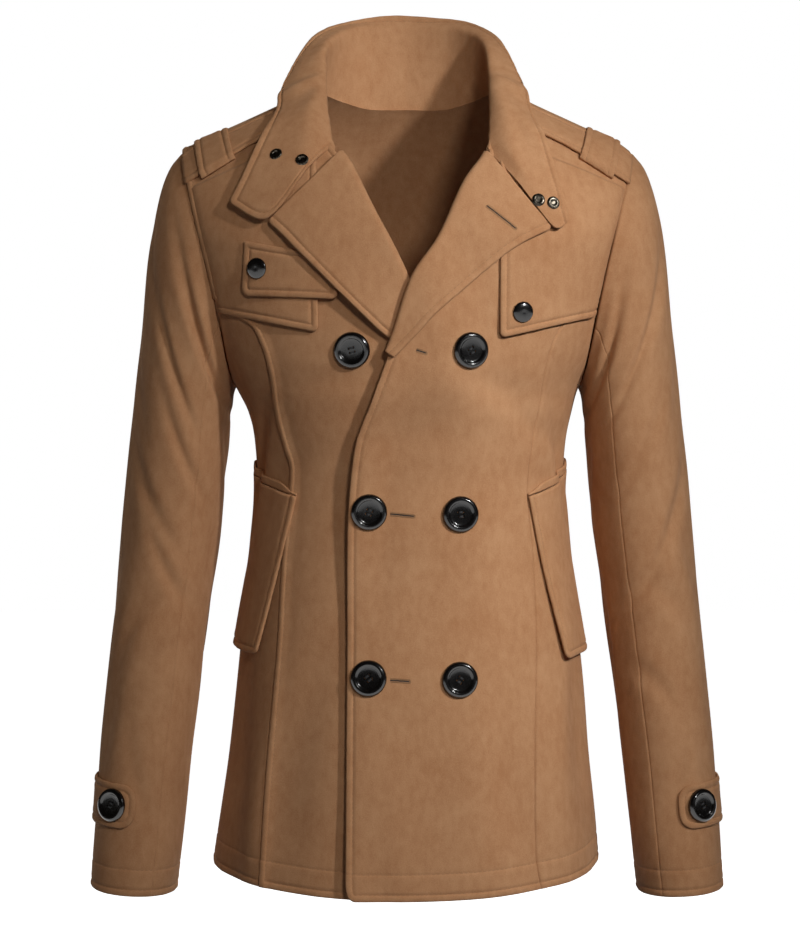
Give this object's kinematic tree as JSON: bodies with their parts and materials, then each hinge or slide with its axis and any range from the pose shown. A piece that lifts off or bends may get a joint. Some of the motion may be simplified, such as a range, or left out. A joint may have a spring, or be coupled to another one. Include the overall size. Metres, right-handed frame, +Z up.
{
  "type": "short trench coat",
  "caption": "Short double-breasted wool coat with shoulder straps, storm flaps, slanted side pockets and a turned-out collar, hollow and open as on a wearer.",
  "frame": {"origin": "between the shoulders, at the height of the shoulder points, where the wearer or a hanger carries the coat", "axes": "+X to the wearer's left, +Y to the back, +Z up"},
  "size_m": [0.578, 0.2852, 0.806],
  "materials": {
    "wool": "camel wool melton, brushed and matte",
    "horn": "polished black horn-effect resin",
    "nickel": "aged nickel plate"
  },
  "bodies": {
    "root": {"back": "wool", "front_centre_right": "wool", "front_centre_left": "wool", "front_side_right": "wool", "front_side_left": "wool", "lapel_right": "wool", "lapel_left": "wool", "collar": "wool", "storm_flap_right": "wool", "storm_flap_left": "wool", "chest_tab": "wool", "epaulette_right": "wool", "epaulette_left": "wool", "epaulette_loop_right": "wool", "epaulette_loop_left": "wool", "pocket_flap_right": "wool", "pocket_flap_left": "wool", "pocket_welt_right": "wool", "pocket_welt_left": "wool", "top_sleeve_right": "wool", "top_sleeve_left": "wool", "under_sleeve_right": "wool", "under_sleeve_left": "wool", "sleeve_tab_right": "wool", "sleeve_tab_left": "wool", "button_right_1": "horn", "button_right_2": "horn", "button_right_3": "horn", "button_left_1": "horn", "button_left_2": "horn", "button_left_3": "horn", "flap_button_right": "horn", "flap_button_left": "horn", "cuff_button_right": "horn", "cuff_button_left": "horn", "snap_right_1": "nickel", "snap_right_2": "nickel", "snap_left_1": "nickel", "snap_left_2": "nickel"}
  },
  "joints": []
}
